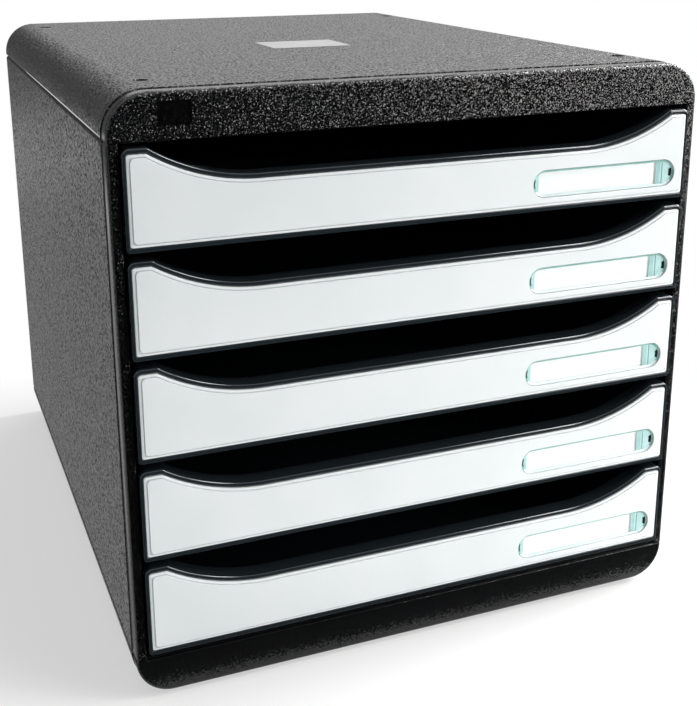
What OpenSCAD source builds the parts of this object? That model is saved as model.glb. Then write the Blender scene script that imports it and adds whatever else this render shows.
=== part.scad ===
// Desktop file drawer: a free-standing casing with five closed drawers.
// Millimetres. X is the width, Y runs from the front to the back, Z is up.
// The origin lies on the desk under the middle of the whole object. The modules
// draw with the casing's front face at Y = 0, and centred() moves them back.

/* [Casing] */
// Width over the two side panels
case_w = 278; // [250:1:320]
// Depth from the front face to the rear edge
case_d = 347; // [310:1:400]
// Wall thickness of the cover, the base and the side panels
case_wall = 2.8; // [2.4:0.1:3.4]
// Height of the top cover, from its seam to the top
cover_h = 20; // [19:1:30]
// Radius of the top cover's long edges
cover_r = 18; // [10:1:18]
// Height of the base, from its underside to its seam
base_h = 18; // [18:1:26]
// Radius of the base's long edges
base_r = 17; // [10:1:17]
// Radius of the roll round the front and rear edges
edge_r = 2; // [1:0.1:2.2]
// Chamfer of the seams between the shells and the side panels
seam_chamfer = 1.2; // [0.4:0.1:1.6]

/* [Front] */
// Width of each front post, seen from the front
post_w = 5; // [4.4:0.1:8]
// Depth of each front post
post_d = 6; // [4:0.5:12]
// Distance of the fine shadow line behind the front face
shadow_line_y = 9; // [7:0.5:20]
// Width of the shadow line
shadow_line_w = 0.8; // [0.4:0.1:1.5]
// Depth of the shadow line
shadow_line_d = 0.6; // [0.2:0.1:1]
// Distance of a second, finer line, just behind the front roll
front_line_y = 2.6; // [2.4:0.1:5]
// Width of the second line
front_line_w = 0.5; // [0.2:0.1:1]
// Depth of the second line
front_line_d = 0.3; // [0.1:0.1:0.8]
// Radius of the posts' inner edges and of the front bands' free edges
front_edge_r = 0.6; // [0.2:0.1:0.9]

/* [Drawer fronts] */
// Height step from one drawer to the next
drawer_pitch = 45.8; // [44:0.1:60]
// Height of one drawer front
front_h = 42.2; // [38:0.1:42.4]
// Gap between the lowest front and the base
bottom_gap = 3.9; // [3:0.1:6]
// Gap between the highest front and the top cover
top_gap = 1.7; // [1:0.1:4]
// Gap between a front and each post
side_gap = 0.8; // [0.5:0.1:1.5]
// How far the rim of a front stands before the casing
front_proud = 2.4; // [2:0.1:5]
// Thickness of the front wall behind the insert
front_wall = 2.5; // [2:0.1:4]
// Width of the finger cut-out between the two ears
smile_w = 246; // [200:1:248]
// Depth of the finger cut-out
smile_drop = 13.5; // [8:0.5:18]
// Radius of the cut-out's two sweeping ends
smile_r = 84; // [50:1:90]
// Radius of the turn from each sweeping end to its ear
ear_r = 3.4; // [3.2:0.1:6]
// Radius of the outer corner of each ear
ear_corner = 3; // [1:0.1:4]
// Thickness of the rolled finger lip
lip_t = 2.2; // [1.8:0.1:3]
// How far the finger lip reaches back from the rim
lip_d = 9.4; // [7:0.1:14]

/* [Insert and label] */
// Thickness of the white insert
insert_t = 2.2; // [1.8:0.1:3]
// How far the insert stands before the rim
insert_proud = 0.5; // [0.1:0.1:1]
// Border of the rim at each side of the insert
border_side = 1.3; // [1:0.1:3]
// Border of the rim above the insert
border_top = 2.2; // [1.8:0.1:4]
// Border of the rim below the insert
border_bottom = 2.1; // [1.5:0.1:4]
// Width of the bevelled margin round the insert
insert_margin = 1.4; // [0.8:0.1:3]
// Width of the label window
label_w = 76.6; // [50:0.1:90]
// Height of the label window
label_h = 12.9; // [8:0.1:14]
// Distance of the label window from the right edge of the insert
label_side = 4.8; // [4:0.1:20]
// Distance of the label window from the bottom of the insert
label_bottom = 4.1; // [3:0.1:6]
// Distance of the paper label from the window's left end
card_left = 3.4; // [3:0.1:20]
// Distance of the paper label from the window's right end
card_right = 9.2; // [3:0.1:20]
// Width of the label window's raised border
window_border = 0.9; // [0.6:0.1:1.5]
// Depth of the recess inside that border
window_recess = 0.5; // [0.2:0.1:0.6]

/* [Drawer tray] */
// Wall thickness of the tray
tray_wall = 1.8; // [1.5:0.1:2.5]
// Radius of a tray's two upright rear corners
rear_corner = 5; // [3:0.5:10]
// Gap between a tray's rear wall and the back panel
tray_back_gap = 9; // [5:0.5:30]
// Width of the runner flange along each side of a tray
flange_w = 3.4; // [3:0.1:4]
// Thickness of the runner flange
flange_t = 1.8; // [1.5:0.1:2.5]
// Distance of the flange below the top of the front
flange_drop = 3; // [2.5:0.1:6]
// Height of the tray's floor above the bottom of the front
floor_rise = 0.8; // [0.4:0.1:3]
// How far a drawer slides out before its lugs meet the posts
travel = 235; // [150:1:250]
// Running clearance of the flanges on the ledges
run_gap = 0.3; // [0.2:0.05:0.6]

/* [Feet] */
// Diameter of the rubber feet
foot_dia = 13; // [8:0.5:16]
// Height of the feet below the base
foot_h = 2; // [1:0.5:5]
// Distance of the feet from the middle, sideways
foot_x = 108; // [80:1:112]
// Distance of the feet from the front and from the rear
foot_y = 34; // [20:1:80]

/* [Hidden] */

drawers = 5;
fit = 0.3;             // gap between pieces that are put together
lap = 0.4;             // depth by which joined bodies of one moulding share material
cut = 1;               // how far a cutter runs past the face that it cuts

casing_grey = "#3b3c3d";
drawer_grey = "#262d31";
insert_white = "#eef2f3";
window_teal = "#b8dad7";
paper_white = "#fdfdfc";
rubber_black = "#1b1b1b";

// Casing
half_w = case_w / 2;
base_top = foot_h + base_h;
stack_h = bottom_gap + (drawers - 1) * drawer_pitch + front_h + top_gap;
seam_top = base_top + stack_h;
case_top = seam_top + cover_h;
tongue_t = 1.6;        // locating tongues of the cover and base
tongue_h = 2.2;
tongue_end = 14;       // distance of a tongue's ends from the front and rear
sill_h = 1.6;          // sill of the base behind its front band
sill_y = 1;
mark_dia = 7;          // shallow stacking marks in the top
mark_depth = 0.6;
mark_x = 117;
badge_w = 13;          // smooth bare field in the top front band
badge_h = 9;
badge_depth = 0.3;
badge_side = 21.5;
badge_drop = 4.5;
foot_pocket = 1;       // depth of a foot's pocket in the base
foot_edge = 0.8;       // chamfer of a foot

// Back panel and its slots in the side panels
back_t = 2;
back_rim = 1.6;        // rear return that holds the back panel in
back_slot = back_t + 2 * fit;
back_stop = 2;         // rib in front of the back panel
back_front_y = case_d - back_rim - fit - back_t;

// Drawer fronts
opening_w = case_w - 2 * post_w;
front_w = opening_w - 2 * side_gap;
rim_y = -front_proud;
insert_y = rim_y - insert_proud;
pocket_y = insert_y + insert_t;
wall_y = pocket_y + front_wall;
insert_w = front_w - 2 * border_side;
insert_step = 0.4;     // height of the insert's raised field over its margin
low_corner = 1;        // radius of the lower corners of a front and its insert
field_corner = 1.5;    // radius of the corners of the raised field
lip_web = 0.7;         // thickness of the lip's web, as a share of its roll
lip_bead = 0.4;        // radius of the bead along its rear edge, the same way
smile_flat = smile_w / 2 - sqrt(smile_r ^ 2 - (smile_r - smile_drop) ^ 2);
turn_r = smile_r + ear_r;
smile_angle = acos((turn_r - smile_drop) / turn_r);
ear_x = smile_flat + turn_r * sin(smile_angle);

// Label window
label_x = insert_w / 2 - label_side - label_w / 2;
label_z = border_bottom + label_bottom + label_h / 2;
window_sink = 0.3;     // the window lies this far behind the insert's margin
window_y = insert_y + insert_step + window_sink;
window_line_x = (label_w - label_h) / 2;    // fine line where the right end starts
window_line_w = 0.5;
window_line_d = 0.3;
window_ribs = 4;       // fine upright ribs to the left of that line
rib_pitch = 0.62;
rib_w = 0.3;
rib_h = 0.25;
end_slot_w = 1.3;      // curved slot at each end of the window
end_slot_span = 24;    // degrees to each side of its middle
end_slot_inset = 0.4;  // its distance from the border
card_t = 0.4;
card_y = pocket_y - card_t;
card_gap = 1;          // above and below the card
card_w = label_w - card_left - card_right;
card_h = label_h - 2 * card_gap;
card_x = label_x + (card_left - card_right) / 2;

// Trays
flange_inset = 0.2;    // the flanges end this far inside the front's sides
tray_w = front_w - 2 * (flange_w + flange_inset);
tray_rear = back_front_y - tray_back_gap;
mid_y = (case_d + insert_y) / 2;
tray_corner = 4;       // outer radius of a tray's long lower corners
tray_top = front_h - flange_drop;
lug_w = 2.4;           // stop lugs on the flanges
lug_l = 8;
lug_y = post_d + fit + travel;
flange_x = tray_w / 2 + flange_w;
flange_rear = tray_rear - rear_corner;

// Runners moulded on the side panels
ledge_t = 2;
keeper_t = 1.6;
keeper_gap = 0.5;      // gap between a flange and the keeper above it
ledge_gap = 0.8;       // gap between a tray's side and the ledges
keeper_side = 1.9;     // gap between a tray's side and the keepers
ledge_reach = tray_w / 2 + ledge_gap;
keeper_reach = tray_w / 2 + keeper_side;
end_stop = 3;          // block that closes each runner behind its flange

$fn = 96;

// Bottom of the front of drawer n, counted from the top
function front_z(n) = base_top + bottom_gap + (drawers - n) * drawer_pitch;

// Puts the middle of the whole object over the origin
module centred() {
    translate([0, -mid_y, 0]) children();
}

// Extrudes a profile drawn in X and Z from y0 back to y1
module along_y(y0, y1) {
    translate([0, y1, 0]) rotate([90, 0, 0]) linear_extrude(y1 - y0) children();
}

// A slot outline with round ends, about its centre
module stadium(w, h) {
    square([w - h, h], center = true);
    for (side = [-1, 1]) translate([side * (w - h) / 2, 0]) circle(h / 2);
}

// ---- Casing ----

// Section of the casing's skin: x runs into the wall, y from front to back.
// Both ends are rolled, and two fine lines follow the front edge.
module skin_section() {
    difference() {
        intersection() {
            square([case_wall, case_d]);
            union() {
                translate([0, edge_r]) square([case_wall, case_d - 2 * edge_r]);
                translate([edge_r, 0]) square([case_wall, case_d]);
                translate([edge_r, edge_r]) circle(edge_r);
                translate([edge_r, case_d - edge_r]) circle(edge_r);
            }
        }
        fine_lines();
    }
}

module fine_lines() {
    translate([-cut, shadow_line_y]) square([cut + shadow_line_d, shadow_line_w]);
    translate([-cut, front_line_y]) square([cut + front_line_d, front_line_w]);
}

// What lies outside a rounded corner, whose centre is at the origin
module outside_corner(r) {
    difference() {
        square(r + cut);
        circle(r);
    }
}

// The skin swept across the top and down both long edges.
// Its top face is at z = 0 and its free edges are at z = -h.
module swept_skin(h, r) {
    flat = half_w - r;
    translate([-flat, 0, 0]) rotate([0, 90, 0]) linear_extrude(2 * flat) skin_section();
    for (start = [180, 270])
        translate([(start == 180 ? -1 : 1) * flat, 0, -r])
            rotate([-90, 0, 0]) rotate([0, 0, start])
                rotate_extrude(angle = 90)
                    translate([r, 0]) mirror([1, 0]) skin_section();
    if (h > r)
        for (side = [0, 1])
            mirror([side, 0, 0])
                translate([-half_w, 0, -h]) linear_extrude(h - r) skin_section();
}

// Outline of a shell's end wall, inset from the skin's outer face
module end_outline(h, r, inset) {
    w = case_w - 2 * inset;
    intersection() {
        translate([-w / 2, -h]) square([w, h - inset]);
        union() {
            translate([-w / 2, -h - r]) square([w, h]);
            translate([-(half_w - r), -h]) square([case_w - 2 * r, h]);
            for (side = [-1, 1])
                translate([side * (half_w - r), -r]) circle(r - inset);
        }
    }
}

// A shallow shell: the swept skin closed by a front and a rear wall, with
// tongues that locate it between the side panels
module shell(h, r) {
    inner = half_w - case_wall - fit;
    difference() {
        union() {
            swept_skin(h, r);
            along_y(0, case_wall) end_outline(h, r, case_wall - lap);
        }
        band_edge(h);
    }
    along_y(case_d - case_wall, case_d) end_outline(h, r, case_wall - lap);
    for (side = [0, 1])
        mirror([side, 0, 0])
            translate([inner - tongue_t, tongue_end, -h - tongue_h])
                cube([tongue_t, case_d - 2 * tongue_end, tongue_h + case_wall]);
    // ties between each tongue and the skin beside it
    for (side = [0, 1])
        mirror([side, 0, 0])
            translate([inner - tongue_t, tongue_end, -h + fit])
                cube([tongue_t + fit + lap, case_d - 2 * tongue_end, case_wall - fit]);
}

// Cutter that rounds the free edge of a shell's front band
module band_edge(h) {
    translate([-half_w, front_edge_r, front_edge_r - h])
        rotate([90, 0, 90]) linear_extrude(case_w) rotate(180) outside_corner(front_edge_r);
}

// Cutter of the V-shaped seam along both sides at height z
module seam_groove(z) {
    for (side = [-1, 1])
        along_y(-cut, case_d + cut)
            translate([side * half_w, z]) rotate(45)
                square(seam_chamfer * sqrt(2), center = true);
}

module top_cover() {
    color(casing_grey)
        centred() difference() {
            translate([0, 0, case_top]) shell(cover_h, cover_r);
            seam_groove(seam_top);
            for (side = [-1, 1], y = [foot_y, case_d - foot_y])
                translate([side * mark_x, y, case_top - mark_depth])
                    cylinder(d = mark_dia, h = mark_depth + cut);
            translate([badge_side - half_w, -cut, case_top - badge_drop - badge_h])
                cube([badge_w, cut + badge_depth, badge_h]);
        }
}

module base_shell() {
    color(casing_grey)
        centred() difference() {
            union() {
                translate([0, 0, foot_h]) mirror([0, 0, 1]) shell(base_h, base_r);
                front_sill();
            }
            seam_groove(base_top);
            at_feet() translate([0, 0, foot_h - cut])
                cylinder(d = foot_dia + 2 * fit, h = cut + foot_pocket);
        }
}

// A low sill between the posts, set back behind the base's front band
module front_sill() {
    w = opening_w - 2 * fit;
    translate([-w / 2, sill_y, base_top - case_wall])
        cube([w, case_wall - sill_y + lap, case_wall + sill_h]);
}

module at_feet() {
    for (x = [-foot_x, foot_x], y = [foot_y, case_d - foot_y])
        translate([x, y, 0]) children();
}

module rubber_feet() {
    foot_top = foot_h + foot_pocket;
    color(rubber_black)
        centred() at_feet() rotate_extrude()
            polygon([
                [0, 0], [foot_dia / 2 - foot_edge, 0], [foot_dia / 2, foot_edge],
                [foot_dia / 2, foot_top], [0, foot_top]
            ]);
}

// Section of a side panel: the skin, the front post, and the rear slot that
// holds the back panel
module panel_section() {
    difference() {
        intersection() {
            square([post_w, case_d]);
            union() {
                translate([0, edge_r]) square([case_wall, case_d - 2 * edge_r]);
                translate([edge_r, 0]) square([post_w, post_d]);
                translate([0, edge_r]) square([post_w, post_d - edge_r]);
                translate([edge_r, edge_r]) circle(edge_r);
                translate([edge_r, case_d - back_rim]) square([post_w, back_rim]);
                translate([edge_r, case_d - edge_r]) circle(edge_r);
                translate([0, back_front_y - fit - back_stop]) square([post_w, back_stop]);
            }
        }
        fine_lines();
        translate([post_w - front_edge_r, front_edge_r]) mirror([0, 1])
            outside_corner(front_edge_r);
        translate([case_wall, back_front_y - fit]) square([post_w, back_slot]);
    }
}

// Ledge below and keeper above each tray flange. The post closes each channel
// in front, where it catches the lug, and a block closes it behind the flange.
// The keeper starts behind the finger lip of the closed drawer.
module runners() {
    y0 = post_d - lap;
    keeper_y = max(y0, rim_y + lip_d + keeper_gap);
    y1 = flange_rear + fit + end_stop;
    root = half_w - case_wall + lap;
    for (n = [1 : drawers]) {
        flange_top = front_z(n) + tray_top;
        ledge_z = flange_top - flange_t - run_gap - ledge_t;
        keeper_z = flange_top + keeper_gap;
        translate([-root, y0, ledge_z]) cube([root - ledge_reach, y1 - y0, ledge_t]);
        translate([-root, keeper_y, keeper_z])
            cube([root - keeper_reach, y1 - keeper_y, keeper_t]);
        translate([-root, y1 - end_stop, ledge_z])
            cube([root - keeper_reach, end_stop, keeper_z + keeper_t - ledge_z]);
    }
}

module left_side_panel() {
    color(casing_grey)
        centred() difference() {
            union() {
                translate([-half_w, 0, base_top]) linear_extrude(stack_h) panel_section();
                runners();
            }
            seam_groove(base_top);
            seam_groove(seam_top);
        }
}

module right_side_panel() {
    mirror([1, 0, 0]) left_side_panel();
}

module back_panel() {
    w = case_w - 2 * (case_wall + fit);
    color(casing_grey)
        centred() translate([-w / 2, back_front_y, base_top]) cube([w, back_t, stack_h - fit]);
}

// ---- Drawers: each is drawn with the bottom of its front at z = 0 ----

module in_row(n) {
    centred() translate([0, 0, front_z(n)]) children();
}

// Outline of the space above a front's top edge, moved down by depth: a flat
// middle, two sweeping ends, and a turn of the other hand up to each ear
module smile_cut(depth) {
    low = front_h - smile_drop;
    centre_z = low + smile_r;
    translate([-smile_flat, low - depth]) square([2 * smile_flat, front_h]);
    for (side = [0, 1])
        mirror([side, 0]) {
            translate([smile_flat, centre_z]) circle(smile_r + depth);
            if (depth < ear_r - lap)
                difference() {
                    polygon([
                        [ear_x, front_h - ear_r], [smile_flat, centre_z], [ear_x, centre_z]
                    ]);
                    translate([ear_x, front_h - ear_r]) circle(ear_r - depth);
                }
        }
}

// Outline of a front, drawn in from its sides, bottom and top
module front_outline(side, bottom, top, corner) {
    w = front_w - 2 * side;
    h = front_h - bottom - top;
    difference() {
        translate([0, bottom + h / 2])
            union() {
                square([w - 2 * corner, h], center = true);
                square([w, h - 2 * corner], center = true);
                for (x = [-1, 1], z = [-1, 1])
                    translate([x * (w / 2 - corner), z * (h / 2 - corner)]) circle(corner);
            }
        smile_cut(top);
    }
}

// Section of the finger lip: x runs down from its top face, y from front to
// back. Its nose is a full roll and its rear edge has a small bead.
module lip_section() {
    nose = lip_t / 2;
    bead = lip_t * lip_bead;
    translate([0, rim_y + nose]) square([lip_t * lip_web, lip_d - nose - bead]);
    translate([0, rim_y + nose]) square([lip_t, pocket_y + front_wall - rim_y - nose]);
    translate([nose, rim_y + nose]) circle(nose);
    translate([bead, rim_y + lip_d - bead]) circle(bead);
}

// The lip swept along the top edge: straight middle, sweeping ends, turns, ears
module finger_lip() {
    half_lip();
    mirror([1, 0, 0]) half_lip();
}

module half_lip() {
    low = front_h - smile_drop;
    union() {
        translate([0, 0, low])
            rotate([0, 90, 0]) linear_extrude(smile_flat) lip_section();
        translate([smile_flat, 0, low + smile_r])
            rotate([-90, 0, 0]) rotate([0, 0, 90 - smile_angle])
                rotate_extrude(angle = smile_angle)
                    translate([smile_r, 0]) lip_section();
        translate([ear_x, 0, front_h - ear_r])
            rotate([-90, 0, 0]) rotate([0, 0, 270 - smile_angle])
                rotate_extrude(angle = smile_angle)
                    translate([ear_r, 0]) mirror([1, 0]) lip_section();
        translate([ear_x, 0, front_h])
            rotate([0, 90, 0]) linear_extrude(front_w / 2 - ear_x) lip_section();
    }
}

// Cutter that rounds the outer corners of both ears
module ear_corners() {
    for (side = [0, 1])
        mirror([side, 0, 0])
            along_y(rim_y - cut, rim_y + lip_d + cut)
                translate([front_w / 2 - ear_corner, front_h - ear_corner])
                    outside_corner(ear_corner);
}

// Outline of a tray across its length, with rounded lower corners
module tray_outline(inset, top) {
    w = tray_w - 2 * inset;
    r = tray_corner - inset;
    bottom = floor_rise + inset;
    translate([-w / 2 + r, bottom]) square([w - 2 * r, top - bottom]);
    translate([-w / 2, bottom + r]) square([w, top - bottom - r]);
    for (side = [-1, 1]) translate([side * (w / 2 - r), bottom + r]) circle(r);
}

// Outline of a tray seen from above, with rounded rear corners
module tray_plan(inset, front) {
    w = tray_w - 2 * inset;
    r = rear_corner - inset;
    rear = tray_rear - inset;
    translate([-w / 2 + r, front]) square([w - 2 * r, rear - front]);
    translate([-w / 2, front]) square([w, rear - r - front]);
    for (side = [-1, 1]) translate([side * (w / 2 - r), rear - r]) circle(r);
}

// A block with both outlines: the tray's outside, or the space inside it
module tray_block(inset, front, top) {
    intersection() {
        along_y(front, tray_rear - inset) tray_outline(inset, top);
        linear_extrude(top) tray_plan(inset, front);
    }
}

module tray_flange() {
    z = tray_top - flange_t;
    root = tray_w / 2 - lap;
    translate([root, wall_y - lap, z])
        cube([flange_x - root, flange_rear - wall_y + lap, flange_t]);
    translate([root, lug_y, z])
        cube([flange_x - root + lug_w, lug_l, flange_t]);
}

module tray_body() {
    front = wall_y - lap;
    difference() {
        tray_block(0, front, tray_top);
        tray_block(tray_wall, front - cut, tray_top + cut);
    }
    tray_flange();
    mirror([1, 0, 0]) tray_flange();
}

// The front wall, and the rim that frames the insert's sides and bottom; the
// finger lip frames its top
module front_frame() {
    pocket_w = front_w - 2 * border_side;
    difference() {
        union() {
            along_y(pocket_y, wall_y) front_outline(0, 0, lip_t / 2, low_corner);
            along_y(rim_y, pocket_y + lap)
                difference() {
                    front_outline(0, 0, lip_t - lap, low_corner);
                    front_outline(border_side, border_bottom, border_top, low_corner);
                    translate([-pocket_w / 2, front_h / 2]) square([pocket_w, front_h]);
                }
            finger_lip();
        }
        ear_corners();
    }
}

module drawer_tray(n) {
    color(drawer_grey)
        in_row(n) {
            front_frame();
            tray_body();
        }
}

module drawer_insert(n) {
    gap = fit / 2;
    margin = insert_margin;
    color(insert_white)
        in_row(n)
            difference() {
                union() {
                    along_y(insert_y + insert_step, pocket_y)
                        front_outline(
                            border_side + gap, border_bottom + gap,
                            border_top + gap, low_corner
                        );
                    along_y(insert_y, insert_y + insert_step + lap)
                        front_outline(
                            border_side + margin, border_bottom + margin,
                            border_top + margin, field_corner
                        );
                }
                along_y(insert_y - cut, pocket_y + cut)
                    translate([label_x, label_z]) stadium(label_w, label_h);
            }
}

// The window is dished inside its border. Ribs and a line mark the end from
// which the label is pulled, and a curved slot at each end clips it in.
module drawer_label_window(n) {
    w = label_w - 2 * fit;
    h = label_h - 2 * fit;
    floor_y = window_y + window_recess;
    color(window_teal)
        in_row(n) translate([label_x, 0, label_z])
            difference() {
                union() {
                    difference() {
                        along_y(window_y, card_y) stadium(w, h);
                        along_y(window_y - cut, floor_y)
                            stadium(w - 2 * window_border, h - 2 * window_border);
                    }
                    for (i = [1 : window_ribs])
                        along_y(floor_y - rib_h, card_y)
                            translate([window_line_x - i * rib_pitch, 0])
                                square([rib_w, h - window_border], center = true);
                }
                along_y(floor_y - cut, floor_y + window_line_d)
                    translate([window_line_x, 0])
                        square([window_line_w, h - 2 * window_border], center = true);
                along_y(window_y - cut, card_y + cut)
                    end_slots(w - h, h / 2 - window_border - end_slot_inset);
            }
}

// Outline of the curved slots, which follow the rounded ends of the recess
module end_slots(spread, r) {
    reach = 2 * r;
    for (side = [0, 1])
        mirror([side, 0])
            translate([spread / 2, 0])
                intersection() {
                    difference() {
                        circle(r);
                        circle(r - end_slot_w);
                    }
                    polygon([
                        [0, 0],
                        [reach, -reach * tan(end_slot_span)], [reach, reach * tan(end_slot_span)]
                    ]);
                }
}

module drawer_label(n) {
    color(paper_white)
        in_row(n)
            translate([card_x - card_w / 2, card_y, label_z - card_h / 2])
                cube([card_w, card_t, card_h]);
}

top_cover();
base_shell();
left_side_panel();
right_side_panel();
back_panel();
rubber_feet();
drawer_tray(1);  // drawer_1_tray
drawer_insert(1);  // drawer_1_insert
drawer_label_window(1);  // drawer_1_label_window
drawer_label(1);  // drawer_1_label
drawer_tray(2);  // drawer_2_tray
drawer_insert(2);  // drawer_2_insert
drawer_label_window(2);  // drawer_2_label_window
drawer_label(2);  // drawer_2_label
drawer_tray(3);  // drawer_3_tray
drawer_insert(3);  // drawer_3_insert
drawer_label_window(3);  // drawer_3_label_window
drawer_label(3);  // drawer_3_label
drawer_tray(4);  // drawer_4_tray
drawer_insert(4);  // drawer_4_insert
drawer_label_window(4);  // drawer_4_label_window
drawer_label(4);  // drawer_4_label
drawer_tray(5);  // drawer_5_tray
drawer_insert(5);  // drawer_5_insert
drawer_label_window(5);  // drawer_5_label_window
drawer_label(5);  // drawer_5_label
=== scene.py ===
# %% [markdown]
# # A desktop file drawer, dressed in Blender
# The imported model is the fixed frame: casing, five trays, five inserts, five
# label windows and five labels, in metres, with the desk at z = 0 and the front
# facing -Y. This script gives every surface its real finish, and builds finer
# fronts where the plain solids lack the rolls, steps and bevels that catch light.

# %% Load the fixed frame
import math

import bmesh
import bpy
from mathutils import Matrix, Vector


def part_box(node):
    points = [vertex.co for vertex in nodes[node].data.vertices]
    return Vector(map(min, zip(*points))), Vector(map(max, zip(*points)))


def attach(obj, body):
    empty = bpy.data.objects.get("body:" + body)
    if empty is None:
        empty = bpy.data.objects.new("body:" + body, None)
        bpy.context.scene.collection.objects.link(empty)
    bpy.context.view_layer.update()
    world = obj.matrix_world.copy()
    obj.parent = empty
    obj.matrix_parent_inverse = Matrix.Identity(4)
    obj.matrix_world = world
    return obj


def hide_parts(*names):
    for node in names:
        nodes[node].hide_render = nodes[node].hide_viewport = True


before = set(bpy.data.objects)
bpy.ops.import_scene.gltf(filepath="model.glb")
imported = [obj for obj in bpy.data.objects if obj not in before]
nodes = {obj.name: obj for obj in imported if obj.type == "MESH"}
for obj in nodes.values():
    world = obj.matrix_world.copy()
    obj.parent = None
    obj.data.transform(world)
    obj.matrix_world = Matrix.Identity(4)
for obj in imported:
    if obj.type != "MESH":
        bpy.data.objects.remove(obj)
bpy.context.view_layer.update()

# %% [markdown]
# ## Sizes
# Lengths here are millimetres, as on a drawing, and MM turns them to metres at
# the last moment. Whatever the frame already knows is read from it. The rest are
# the few sizes that a box can't tell, such as the radii of the finger cut-out.

# %% Sizes read from the frame, in millimetres
MM = 0.001
DRAWERS = range(1, 6)
CASING = "casing"

tray_low, tray_high = (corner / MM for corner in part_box("drawer_1_tray"))
insert_low, insert_high = (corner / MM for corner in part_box("drawer_1_insert"))
window_low, window_high = (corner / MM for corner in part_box("drawer_1_label_window"))
label_low, label_high = (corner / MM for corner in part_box("drawer_1_label"))
casing_low, casing_high = (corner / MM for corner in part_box("top_cover"))

front_h = tray_high.z - tray_low.z
rim_y = tray_low.y
insert_y = insert_low.y
pocket_y = insert_high.y
casing_front = casing_low.y
drawer_z = {n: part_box(f"drawer_{n}_tray")[0].z / MM for n in DRAWERS}
print(f"front {front_h:.1f} mm high, rim at y {rim_y:.2f}, insert at y {insert_y:.2f}")

# %% [markdown]
# ## The camera
# The photograph looks at the drawer from its left and from above. The place,
# turn and focal length come from a least-squares fit to measured corners. The
# photograph was framed with the optical axis above its middle, which the lens
# shift repeats as far as the other views allow. One helper puts anything with
# data of its own, such as this camera, into the scene.

# %% Camera
IMAGE_W, IMAGE_H = 697, 706
FOCAL_PX = 1159.22
CAMERA_AT = Vector((-216.35, -616.48, 332.59))
LOOK_RIGHT, LOOK_DOWN, ROLL = 21.918, 15.867, 0.139
SHIFT_UP = -0.14
SENSOR = 36.0


def placed(name, data):
    """A new object in the scene, with its mesh, lamp or camera."""
    thing = bpy.data.objects.new(name, data)
    bpy.context.scene.collection.objects.link(thing)
    return thing


camera = placed("camera", bpy.data.cameras.new("camera"))
camera.location = CAMERA_AT * MM
camera.rotation_euler = [
    math.radians(angle) for angle in (90 - LOOK_DOWN, ROLL, -LOOK_RIGHT)]
camera.data.sensor_width = SENSOR
camera.data.lens = FOCAL_PX / max(IMAGE_W, IMAGE_H) * SENSOR
camera.data.shift_y = SHIFT_UP
camera.data.clip_start, camera.data.clip_end = 0.02, 50
bpy.context.scene.camera = camera
print(f"camera: {camera.data.lens:.1f} mm lens")

# %% [markdown]
# ## Colours and shader nodes
# Colours are written as the hex values that a colour picker gives, and one
# function turns them to the linear values that a shader needs. One more function
# adds any node, with its settings, its plain values and its links. Most finishes
# drift between two near colours, so mottled builds such a material in one call.

# %% Helpers for colours and nodes
def linear(hex_colour):
    """A colour such as "#3a3b3c" as the linear RGBA that shaders use."""
    channels = [int(hex_colour[i:i + 2], 16) / 255 for i in (1, 3, 5)]
    curve = [c / 12.92 if c <= 0.04045 else ((c + 0.055) / 1.055) ** 2.4
             for c in channels]
    return (*curve, 1.0)


def add(tree, kind, inputs=None, **settings):
    """Adds one node. Inputs may be plain values or other nodes' output sockets."""
    node = tree.nodes.new(kind)
    for name, value in settings.items():
        setattr(node, name, value)
    for key, value in (inputs or {}).items():
        if isinstance(value, bpy.types.NodeSocket):
            tree.links.new(value, node.inputs[key])
        else:
            node.inputs[key].default_value = value
    return node


def maths(tree, operation, first, second=0.0):
    """One sum, product or comparison of plain numbers or sockets."""
    node = add(tree, "ShaderNodeMath", {0: first, 1: second}, operation=operation)
    return node.outputs[0]


def mixed_number(tree, factor, first, second):
    """Mixes two numbers. A Mix node keeps its number sockets at 2 and 3, and at 0."""
    node = add(tree, "ShaderNodeMix", {
        0: factor, 2: first, 3: second}, data_type="FLOAT")
    return node.outputs[0]


def finish_of(name, **sockets):
    """A material with one Principled BSDF, whose constant sockets are set here."""
    material = bpy.data.materials.new(name)
    material.use_nodes = True
    shader = material.node_tree.nodes["Principled BSDF"]
    for socket, value in sockets.items():
        shader.inputs[socket.replace("_", " ")].default_value = value
    return material, material.node_tree, shader


def ramp(tree, factor, stops):
    """A colour ramp over factor, with (position, colour) stops."""
    node = add(tree, "ShaderNodeValToRGB", {"Fac": factor})
    elements = node.color_ramp.elements
    while len(elements) < len(stops):
        elements.new(0.5)
    for element, (position, colour) in zip(elements, stops):
        element.position = position
        element.color = colour
    return node.outputs["Color"]


def noise(tree, size, detail=1, rough=0.6):
    """Object-space noise whose blotches are size millimetres across."""
    place = add(tree, "ShaderNodeTexCoord").outputs["Object"]
    return add(tree, "ShaderNodeTexNoise", {
        "Vector": place, "Scale": 1 / (size * MM), "Detail": detail, "Roughness": rough,
    }).outputs["Fac"]


def mottled(name, size, colours, detail=1, **sockets):
    """A material whose colour drifts between two, over blotches of size mm."""
    material, tree, shader = finish_of(name, **sockets)
    drift = ramp(tree, noise(tree, size, detail), [
        (0.3, linear(colours[0])), (0.7, linear(colours[1]))])
    tree.links.new(drift, shader.inputs["Base Color"])
    return material, tree, shader


def bump(tree, shader, height, depth, strength):
    """Raises the surface by height, 0 to 1, times depth in millimetres."""
    node = add(tree, "ShaderNodeBump", {
        "Height": height, "Distance": depth * MM, "Strength": strength})
    tree.links.new(node.outputs["Normal"], shader.inputs["Normal"])


def coat(node, material):
    """Gives a piece of the frame its finish, and leaves its mesh as it is."""
    nodes[node].data.materials.clear()
    nodes[node].data.materials.append(material)


print("helpers ready")

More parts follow.
